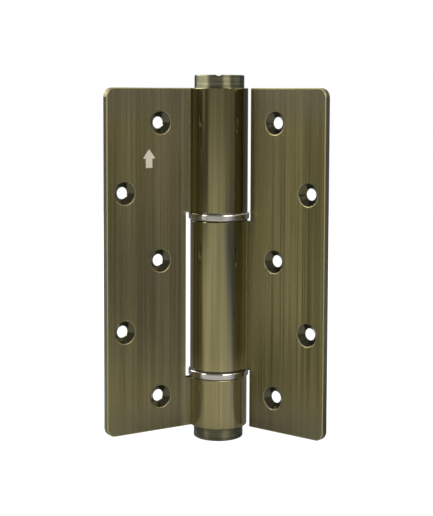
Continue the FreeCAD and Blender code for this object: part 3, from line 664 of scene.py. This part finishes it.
def floor():
    """A pale table that is white to the camera and keeps a faint shadow."""
    mesh = bpy.data.meshes.new("floor")
    builder = bmesh.new()
    bmesh.ops.create_circle(builder, cap_ends=True, segments=96, radius=TABLE_RADIUS)
    builder.to_mesh(mesh)
    builder.free()
    obj = bpy.data.objects.new("floor", mesh)
    bpy.context.scene.collection.objects.link(obj)

    m = new_material("floor_white")
    m.surface({"Base Color": TABLE_COLOUR, "Roughness": 1.0, "Specular IOR Level": 0.0})
    path = m.add("ShaderNodeLightPath").outputs
    mirrored = m.largest(path["Is Glossy Ray"], path["Is Transmission Ray"])
    place = m.place()
    far = m.vector("LENGTH", place)
    azimuth = studio_azimuth(m, place)
    screen = right_screen(m, azimuth, m.minus(TABLE_SCREEN_AZIMUTH, m.times(far, TABLE_SCREEN_SLANT)))
    tint = m.mix(m.times(screen, mirrored), (1, 1, 1, 1), SCREEN_TINT)
    fringe = m.times(screen, m.minus(1.0, screen), 4.0, mirrored)
    light = m.blend(path["Is Camera Ray"], table_light(m, far, azimuth, screen), TABLE_CAMERA_LIGHT)
    glow = m.add("ShaderNodeEmission")
    m.feed(glow.inputs["Color"], m.mix(fringe, tint, FRINGE_TINT))
    m.feed(glow.inputs["Strength"], light)

    seen = m.largest(m.times(path["Is Camera Ray"], TABLE_CAMERA_GLOW), m.times(mirrored, TABLE_MIRROR_GLOW))
    blend = m.add("ShaderNodeMixShader")
    for socket, source in zip(blend.inputs, (seen, m.shader.outputs[0], glow.outputs[0])):
        m.link(source, socket)
    m.link(blend.outputs[0], m.tree.nodes["Material Output"].inputs["Surface"])
    mesh.materials.append(m.owner)


def wall_light(m, azimuth, sky, table):
    """How brightly the metal sees the walls: one level ahead, another at the sides and behind."""
    window = m.times(m.band(azimuth, *WINDOW), WINDOW_GAIN)
    walls = m.plus(WALL_LIGHT, window, m.times(m.step(azimuth, *RIGHT_WALL), RIGHT_WALL_GAIN))
    walls = m.minus(walls, m.times(sky, WALL_SKY_LOSS))
    ahead = m.minus(AHEAD_LIGHT, m.times(sky, AHEAD_SKY_LOSS))
    ahead = m.plus(ahead, m.times(table, AHEAD_TABLE_GAIN))
    return m.blend(m.band(azimuth, *FRONT_WALL), walls, ahead)


def world():
    """A pale studio, white to the camera; the metal mirrors grey walls, dark screens, a post and a bright table."""
    studio = bpy.data.worlds.new("studio")
    bpy.context.scene.world = studio
    m = Nodes(studio)
    way = m.add("ShaderNodeTexCoord").outputs["Generated"]
    azimuth = studio_azimuth(m, way)
    x, y, z = m.split(way)
    elevation = m.plus(m.math("DEGREES", m.math("ARCSINE", z)), HORIZON)
    table = m.fall(elevation, *TABLE_EDGE)

    light = wall_light(m, azimuth, m.step(elevation, *SKY), table)
    screen = right_screen(m, azimuth, m.minus(SCREEN_AZIMUTH, m.times(elevation, SCREEN_SLANT)))
    light = m.blend(screen, light, RIGHT_SCREEN_LIGHT)
    behind = m.times(m.band(m.size(azimuth), *BEHIND_SCREENS), m.band(elevation, *BEHIND_HEIGHT))
    light = m.blend(behind, light, DARK_LIGHT)
    flank = m.times(m.band(m.size(azimuth), *FLANK_WALLS), m.times(table, FLANK_TABLE_GAIN))
    light = m.plus(light, flank)
    post = m.times(m.band(azimuth, *POST), m.band(elevation, *POST_HEIGHT))
    post_foot = m.times(m.band(azimuth, *POST_FOOT), m.band(elevation, *POST_FOOT_HEIGHT))
    light = m.blend(m.largest(post, post_foot), light, DARK_LIGHT)

    path = m.add("ShaderNodeLightPath").outputs
    background = m.tree.nodes["Background"]
    m.feed(background.inputs["Color"], (1, 1, 1, 1))
    m.feed(background.inputs["Strength"], m.blend(path["Is Camera Ray"], light, WHITE))


def lamp(name, azimuth, elevation, width, radiance, colour=(1, 1, 1)):
    """A soft box that faces the middle of the hinge; azimuth 0 stands at the camera, 90 to its right."""
    data = bpy.data.lights.new(name, "AREA")
    data.shape = "RECTANGLE"
    data.size = width
    data.size_y = LAMP_HEIGHT
    data.energy = radiance * math.pi * width * LAMP_HEIGHT
    data.color = colour
    obj = bpy.data.objects.new(name, data)
    angle = math.radians(azimuth) + VIEW_TURN
    rise = math.radians(elevation)
    way = Vector((math.sin(angle) * math.cos(rise), -math.cos(angle) * math.cos(rise), math.sin(rise)))
    place = Matrix.Translation(Vector((0, 0, LEAF_MIDDLE)) + way * LAMP_DISTANCE)
    obj.matrix_world = place @ way.to_track_quat("Z", "Y").to_matrix().to_4x4()
    bpy.context.scene.collection.objects.link(obj)


paint(["frame_leaf"], leaf_material("brushed_bronze_frame", FRAME_LOOK))
paint(["door_leaf"], leaf_material("brushed_bronze_door", DOOR_LOOK))
paint(slot_nodes("cap_bronze"), cap_material())
paint(slot_nodes("ring_polish"), ring_material())
paint(slot_nodes("washer_black"), soft_material("washer_black", rgb(22, 22, 20), 0.5))
paint(slot_nodes("ground_steel"), plain_metal("ground_steel", rgb(190, 190, 190), 0.28))
paint(slot_nodes("dark_steel"), plain_metal("dark_steel", rgb(70, 68, 64), 0.35))
paint(slot_nodes("seal_rubber"), soft_material("seal_rubber", rgb(26, 26, 26), 0.6))
paint(slot_nodes("bush_plastic"), soft_material("bush_plastic", rgb(228, 222, 204), 0.45))
arrow_mark()

camera()
floor()
world()
lamp("left_box", azimuth=-97, elevation=32, width=1.8, radiance=12.0, colour=(1.0, 0.99, 0.97))
lamp("right_box", azimuth=36, elevation=32, width=0.65, radiance=9.5, colour=(1.0, 0.94, 0.92))
lamp("back_box", azimuth=180, elevation=50, width=1.2, radiance=3.0)

bpy.context.scene.view_settings.view_transform = "Standard"
